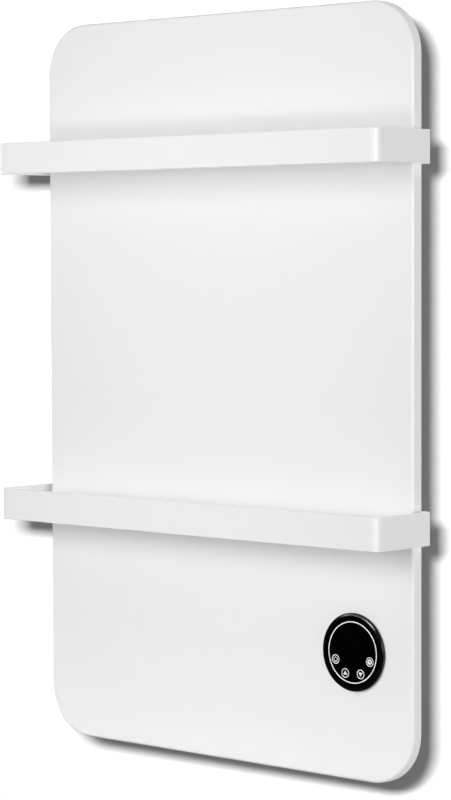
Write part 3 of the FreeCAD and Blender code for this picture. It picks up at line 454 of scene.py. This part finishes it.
def tint(tree, shader, light, dark, scale):
    """Base colour that drifts between two."""
    colour = use(tree, colour_drift, Light=light, Dark=dark, Scale=scale)
    feed(tree, shader.inputs["Base Color"], colour["Colour"])


def dusty_tint(tree, shader, light, dark, scale, dust_colour, dust_amount, dust_scale):
    """Base colour that drifts between two, with dust on top."""
    colour = use(tree, colour_drift, Light=light, Dark=dark, Scale=scale)
    dust = use(tree, settled_dust, Amount=dust_amount, Scale=dust_scale)
    feed(tree, shader.inputs["Base Color"], blend(tree, dust["Mask"], colour["Colour"], dust_colour))


def gloss(tree, shader, low, high, scale):
    """Roughness that wanders between a low and a high value."""
    uneven = use(tree, uneven_gloss, Low=low, High=high, Scale=scale)
    feed(tree, shader.inputs["Roughness"], uneven["Roughness"])


def relief(tree, shader, scale, strength, depth, stretch=(1, 1, 1)):
    """Fine grain that stands out of the surface."""
    grain = use(tree, fine_grain, Scale=scale, Stretch=stretch)
    raised = add(tree, "ShaderNodeBump", Strength=strength, Distance=depth, Height=grain["Height"])
    feed(tree, shader.inputs["Normal"], raised.outputs["Normal"])


# Finishes


def satin_white_coat():
    """Baked powder coat: faint tone drift, orange peel and a little dust on top."""
    material, tree, shader = finish("satin_white_coat", Specular_IOR_Level=0.45)
    dusty_tint(
        tree,
        shader,
        light=grey(0.875),
        dark=grey(0.855),
        scale=3.0,
        dust_colour=(0.70, 0.69, 0.67, 1),
        dust_amount=0.12,
        dust_scale=90.0,
    )
    gloss(tree, shader, low=0.30, high=0.38, scale=14.0)
    relief(tree, shader, scale=650.0, strength=0.12, depth=0.05 * mm)
    return material


def galvanised_sheet():
    """Zinc sheet with its crystal spangle and faint rolling lines."""
    material, tree, shader = finish("galvanised_sheet", Metallic=1.0)
    place = add(tree, "ShaderNodeTexCoord")
    spangle = add(tree, "ShaderNodeTexVoronoi", Vector=place.outputs["Object"], Scale=230.0)
    crystal = add(tree, "ShaderNodeSeparateColor", Color=spangle.outputs["Color"])
    zinc = blend(tree, crystal.outputs[0], (0.39, 0.39, 0.395, 1), (0.46, 0.46, 0.465, 1))
    feed(tree, shader.inputs["Base Color"], zinc)
    rough = add(tree, "ShaderNodeMapRange", Value=crystal.outputs[1], To_Min=0.40, To_Max=0.48)
    feed(tree, shader.inputs["Roughness"], rough.outputs["Result"])
    relief(tree, shader, scale=260.0, strength=0.10, depth=0.05 * mm, stretch=(6, 6, 0.1))
    return material


def zinc_plate():
    """Bright zinc plating of screws and nuts, a little blue and yellow in places."""
    material, tree, shader = finish("zinc_plate", Metallic=1.0)
    tint(tree, shader, light=(0.76, 0.77, 0.78, 1), dark=(0.70, 0.68, 0.60, 1), scale=160.0)
    gloss(tree, shader, low=0.22, high=0.40, scale=300.0)
    relief(tree, shader, scale=1800.0, strength=0.10, depth=0.03 * mm, stretch=(0.3, 2, 0.3))
    return material


def polished_black():
    """Moulded black bezel and rocker, polished, with faint rubbing marks."""
    material, tree, shader = finish("polished_black", Specular_IOR_Level=0.3)
    tint(tree, shader, light=grey(0.004), dark=grey(0.002), scale=60.0)
    gloss(tree, shader, low=0.10, high=0.16, scale=220.0)
    relief(tree, shader, scale=900.0, strength=0.03, depth=0.02 * mm)
    return material


def black_glass():
    """Hard-coated lens, black behind, with faint finger marks in its gloss."""
    material, tree, shader = finish("black_glass", Specular_IOR_Level=0.35)
    tint(tree, shader, light=grey(0.0012), dark=grey(0.0006), scale=30.0)
    gloss(tree, shader, low=0.05, high=0.16, scale=55.0)
    return material


def printed_white():
    """Screen-printed white ink with a fine mesh grain."""
    material, tree, shader = finish("printed_white")
    tint(tree, shader, light=grey(0.93), dark=grey(0.86), scale=700.0)
    gloss(tree, shader, low=0.40, high=0.55, scale=900.0)
    relief(tree, shader, scale=4000.0, strength=0.10, depth=0.01 * mm)
    return material


def dark_moulding():
    """Black moulded plastic with a spark-eroded mould's texture."""
    material, tree, shader = finish("dark_moulding")
    dusty_tint(
        tree,
        shader,
        light=grey(0.050),
        dark=grey(0.036),
        scale=80.0,
        dust_colour=(0.30, 0.29, 0.27, 1),
        dust_amount=0.25,
        dust_scale=400.0,
    )
    gloss(tree, shader, low=0.46, high=0.60, scale=150.0)
    relief(tree, shader, scale=2600.0, strength=0.25, depth=0.05 * mm)
    return material


def pale_moulding():
    """Pale grey moulded plastic of the connection box."""
    material, tree, shader = finish("pale_moulding")
    tint(tree, shader, light=(0.80, 0.80, 0.78, 1), dark=(0.74, 0.74, 0.72, 1), scale=25.0)
    gloss(tree, shader, low=0.40, high=0.54, scale=120.0)
    relief(tree, shader, scale=2200.0, strength=0.20, depth=0.05 * mm)
    return material


def black_rubber():
    """Matt rubber, paler where it has bloomed."""
    material, tree, shader = finish("black_rubber")
    tint(tree, shader, light=grey(0.070), dark=grey(0.040), scale=140.0)
    gloss(tree, shader, low=0.72, high=0.90, scale=260.0)
    relief(tree, shader, scale=1500.0, strength=0.20, depth=0.05 * mm)
    return material


def silicone_sleeve():
    """Red-brown silicone round the leads."""
    material, tree, shader = finish("silicone_sleeve")
    tint(tree, shader, light=(0.48, 0.11, 0.07, 1), dark=(0.38, 0.08, 0.05, 1), scale=90.0)
    gloss(tree, shader, low=0.50, high=0.66, scale=300.0)
    return material


def amber_film():
    """Amber heating film with the faint lines of its laminate."""
    material, tree, shader = finish("amber_film")
    place = add(tree, "ShaderNodeTexCoord")
    lines = add(tree, "ShaderNodeTexWave", {"bands_direction": "Z"}, Scale=120.0)
    feed(tree, lines.inputs["Vector"], place.outputs["Object"])
    amber = blend(tree, lines.outputs["Fac"], (0.62, 0.45, 0.18, 1), (0.54, 0.37, 0.13, 1))
    feed(tree, shader.inputs["Base Color"], amber)
    gloss(tree, shader, low=0.22, high=0.36, scale=40.0)
    return material


def printed_carbon():
    """Granular black carbon print."""
    material, tree, shader = finish("printed_carbon")
    tint(tree, shader, light=grey(0.045), dark=grey(0.018), scale=1200.0)
    gloss(tree, shader, low=0.55, high=0.75, scale=800.0)
    return material


def rolled_copper():
    """Copper strip and contact blades, darker where they have aged."""
    material, tree, shader = finish("rolled_copper", Metallic=1.0)
    tint(tree, shader, light=(0.80, 0.46, 0.26, 1), dark=(0.58, 0.32, 0.18, 1), scale=70.0)
    gloss(tree, shader, low=0.25, high=0.42, scale=120.0)
    return material


def crinkled_foil():
    """Bright aluminium foil, slightly crinkled."""
    material, tree, shader = finish("crinkled_foil", Metallic=1.0)
    tint(tree, shader, light=grey(0.88), dark=grey(0.80), scale=20.0)
    gloss(tree, shader, low=0.16, high=0.30, scale=60.0)
    relief(tree, shader, scale=45.0, strength=0.30, depth=0.4 * mm)
    return material


def mineral_fibre():
    """Pale board of matted fibres."""
    material, tree, shader = finish("mineral_fibre")
    tint(tree, shader, light=(0.84, 0.81, 0.70, 1), dark=(0.70, 0.66, 0.54, 1), scale=180.0)
    gloss(tree, shader, low=0.85, high=0.97, scale=200.0)
    relief(tree, shader, scale=500.0, strength=0.50, depth=0.3 * mm, stretch=(0.15, 1, 1))
    return material


def circuit_board():
    """Green solder mask over a grid of copper tracks."""
    material, tree, shader = finish("circuit_board")
    place = add(tree, "ShaderNodeTexCoord")
    axes = add(tree, "ShaderNodeSeparateXYZ", Vector=place.outputs["Object"])
    flat = add(tree, "ShaderNodeCombineXYZ", X=axes.outputs["X"], Y=axes.outputs["Z"])
    tracks = add(tree, "ShaderNodeTexBrick", Vector=flat.outputs[0], Scale=90.0)
    feed(tree, tracks.inputs["Color1"], (0.020, 0.17, 0.07, 1))
    feed(tree, tracks.inputs["Color2"], (0.028, 0.21, 0.09, 1))
    feed(tree, tracks.inputs["Mortar"], (0.07, 0.32, 0.13, 1))
    feed(tree, shader.inputs["Base Color"], tracks.outputs["Color"])
    gloss(tree, shader, low=0.28, high=0.42, scale=150.0)
    return material


def pale_backdrop():
    """Pale grey paper that its own lamp lights to white and that keeps the heater's shadow.

    A camera sees it a little lifted where it stands, and more where it lies. It is open from
    behind, and the first bounce of light passes through it, so it neither lights the heater
    nor shades it from the lamp behind.
    """
    material = bpy.data.materials.new("pale_backdrop")
    material.use_nodes = True
    tree = material.node_tree
    tree.nodes.clear()
    path = add(tree, "ShaderNodeLightPath")
    surface = add(tree, "ShaderNodeNewGeometry")
    facing = add(tree, "ShaderNodeSeparateXYZ", Vector=surface.outputs["Normal"])
    level = add(tree, "ShaderNodeMapRange", Value=facing.outputs["Z"], From_Min=upright_limit)
    feed(tree, level.inputs["To Min"], wall_lift)
    feed(tree, level.inputs["To Max"], floor_lift)
    lift = combine(tree, "MULTIPLY", path.outputs["Is Camera Ray"], level.outputs["Result"])
    paper = add(tree, "ShaderNodeBsdfDiffuse", Color=grey(paper_tone))
    glow = add(tree, "ShaderNodeEmission", Color=grey(1.0), Strength=lift)
    lit = add(tree, "ShaderNodeAddShader")
    feed(tree, lit.inputs[0], paper.outputs[0])
    feed(tree, lit.inputs[1], glow.outputs[0])
    early = combine(tree, "LESS_THAN", path.outputs["Ray Depth"], first_bounce_limit)
    bounced = combine(tree, "SUBTRACT", early, path.outputs["Is Camera Ray"])
    passes = combine(tree, "MAXIMUM", surface.outputs["Backfacing"], bounced)
    clear = add(tree, "ShaderNodeBsdfTransparent")
    sided = mix_shaders(tree, passes, lit.outputs[0], clear.outputs[0])
    add(tree, "ShaderNodeOutputMaterial", Surface=sided)
    return material


def black_cloth():
    """Matt black curtain, a little uneven in tone."""
    material, tree, shader = finish("black_cloth", Roughness=1.0, Specular_IOR_Level=0.0)
    tint(tree, shader, light=grey(0.004), dark=grey(0.001), scale=0.5)
    return material


# Printed signs


def from_lowest(corners):
    """The same ring of corner numbers, begun at its lowest."""
    first = corners.index(min(corners))
    return corners[first:] + corners[:first]


def finished_mesh(name, mesh):
    """Object of a mesh, with its faces in an order that is the same in each run."""
    mesh.verts.index_update()
    spots = [vert.co.copy() for vert in mesh.verts]
    faces = sorted(from_lowest([vert.index for vert in face.verts]) for face in mesh.faces)
    mesh.free()
    data = bpy.data.meshes.new(name)
    data.from_pydata(spots, [], faces)
    thing = bpy.data.objects.new(name, data)
    bpy.context.scene.collection.objects.link(thing)
    return thing


def circle(centre, radius):
    turns = [2 * pi * step / circle_steps for step in range(circle_steps)]
    return [centre + Vector((cos(turn), sin(turn))) * radius for turn in turns]


def stroke_circle(centre, radius, line):
    """Outlines of a circle drawn with a line of that width."""
    return [circle(centre, radius + line / 2), circle(centre, radius - line / 2)]


def stroke_arc(centre, radius, line, start, end):
    """Outline of an arc drawn with a line of that width."""
    steps = circle_steps // 2
    turns = [start + (end - start) * step / steps for step in range(steps + 1)]
    outer = [centre + Vector((cos(turn), sin(turn))) * (radius + line / 2) for turn in turns]
    inner = [centre + Vector((cos(turn), sin(turn))) * (radius - line / 2) for turn in turns]
    return outer + inner[::-1]


def upright_bar(centre, width, height):
    half = Vector((width / 2, height / 2))
    corners = ((-1, -1), (1, -1), (1, 1), (-1, 1))
    return [centre + Vector((x * half.x, y * half.y)) for x, y in corners]


def arrow_head(centre, way):
    """Solid triangle that points up (way 1) or down (way -1)."""
    rise = arrow_height * way
    foot = centre - Vector((0, rise * arrow_foot_share))
    tip = foot + Vector((0, rise))
    side = Vector((arrow_width / 2, 0))
    return [foot - side, foot + side, tip]


def clock_face(centre):
    """Solid clock face with two hands left open."""
    half = clock_hand_width / 2
    reach = clock_radius * clock_hand_share
    hands = ((-half, reach), (half, reach), (half, half), (reach, half), (reach, -half), (-half, -half))
    return [circle(centre, clock_radius), [centre + Vector(spot) for spot in hands]]


def ink(name, loops, plane, body):
    """Thin printed film from closed outlines; an outline inside another is a hole."""
    mesh = bmesh.new()
    for loop in loops:
        corners = [mesh.verts.new((spot.x, spot.y, print_thickness)) for spot in loop]
        for start, end in zip(corners, corners[1:] + corners[:1]):
            mesh.edges.new((start, end))
    bmesh.ops.triangle_fill(mesh, edges=mesh.edges[:], use_beauty=True, normal=(0, 0, 1))
    grown = bmesh.ops.extrude_face_region(mesh, geom=mesh.faces[:])
    lowered = [part for part in grown["geom"] if isinstance(part, bmesh.types.BMVert)]
    bmesh.ops.translate(mesh, verts=lowered, vec=(0, 0, -print_thickness))
    bmesh.ops.recalc_face_normals(mesh, faces=mesh.faces[:])
    mesh.transform(plane)
    sign = finished_mesh(name, mesh)
    sign.data.materials.append(white_ink)
    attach(sign, body)


def lens_plane():
    """Plane of the lens's front: across to the right, up, and out of the wall."""
    low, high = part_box("touch_lens")
    centre = (low + high) / 2
    axes = Matrix(((1, 0, 0), (0, 0, 1), (0, -1, 0))).transposed().to_4x4()
    place = Matrix.Translation((centre.x, low.y, centre.z))
    return place @ axes @ Matrix.Rotation(print_turn, 4, "Z")


def key_centre(angle):
    return Vector((cos(angle), sin(angle))) * key_circle_radius


def key_outline(angle):
    return stroke_circle(key_centre(angle), key_radius - key_line / 2, key_line)


def lens_signs():
    """Ring and four key signs on the touch lens."""
    plane = lens_plane()
    ink("lens_ring_print", stroke_circle(Vector((0, 0)), ring_radius, ring_line), plane, "heater")
    power = key_centre(power_angle)
    up = pi / 2
    arc = stroke_arc(power, power_radius, glyph_line, up + power_gap, up + 2 * pi - power_gap)
    bar = upright_bar(power + Vector((0, power_radius)), glyph_line, power_radius * power_bar_share)
    ink("power_sign", key_outline(power_angle) + [arc, bar], plane, "heater")
    warmer = arrow_head(key_centre(warmer_angle), 1)
    ink("warmer_sign", key_outline(warmer_angle) + [warmer], plane, "heater")
    cooler = arrow_head(key_centre(cooler_angle), -1)
    ink("cooler_sign", key_outline(cooler_angle) + [cooler], plane, "heater")
    timer = clock_face(key_centre(timer_angle))
    ink("timer_sign", key_outline(timer_angle) + timer, plane, "heater")


def rocker_marks():
    """Bar and ring on the two halves of the rocker, set on its face from below."""
    rocker = frame["nodes"]["switch_rocker"]
    low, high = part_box("switch_rocker")
    pivot_x = frame["joints"][0]["pos_m"][0]
    middle_y = (low.y + high.y) / 2
    below = low.z - rocker_probe_drop
    outlines = {
        "rocker_on_mark": (-1, [upright_bar(Vector((0, 0)), rocker_bar_width, rocker_bar_length)]),
        "rocker_off_mark": (1, stroke_circle(Vector((0, 0)), rocker_ring_radius, rocker_bar_width)),
    }
    for name, (side, loops) in outlines.items():
        start = Vector((pivot_x + side * rocker_mark_offset, middle_y, below))
        _, spot, normal, _ = rocker.ray_cast(start, Vector((0, 0, 1)))
        along = Vector((0, 1, 0))
        across = along.cross(normal)
        axes = Matrix((across, along, normal)).transposed().to_4x4()
        ink(name, loops, Matrix.Translation(spot) @ axes, "rocker")


# Dressing


def dress_nodes():
    """Gives each solid the finish of its material slot, and the lens and display black glass."""
    finishes = {
        "white_coat": satin_white_coat(),
        "zinc_sheet": galvanised_sheet(),
        "zinc_screw": zinc_plate(),
        "gloss_black": polished_black(),
        "dark_plastic": dark_moulding(),
        "pale_plastic": pale_moulding(),
        "rubber": black_rubber(),
        "lead_sleeve": silicone_sleeve(),
        "film": amber_film(),
        "carbon": printed_carbon(),
        "copper": rolled_copper(),
        "foil": crinkled_foil(),
        "insulation": mineral_fibre(),
        "circuit_board": circuit_board(),
    }
    glass = black_glass()
    for part in frame["record"]["subparts"]:
        node = frame["nodes"][part["node"]]
        wanted = finishes[part["material_slot"]]
        if part["node"] in ("touch_lens", "display_module"):
            wanted = glass
        node.data.materials.clear()
        node.data.materials.append(wanted)


place_camera()
white_ink = printed_white()
dress_nodes()
lens_signs()
rocker_marks()
studio_sweep()
studio_world()
dark_room()
front_light()
side_light("right_rim_lamp", azimuth=93)
side_light("left_rim_lamp", azimuth=-105)
rear_light()
backdrop_light()
edge_sheen()
bezel_glint()
bpy.context.scene.view_settings.view_transform = "Standard"
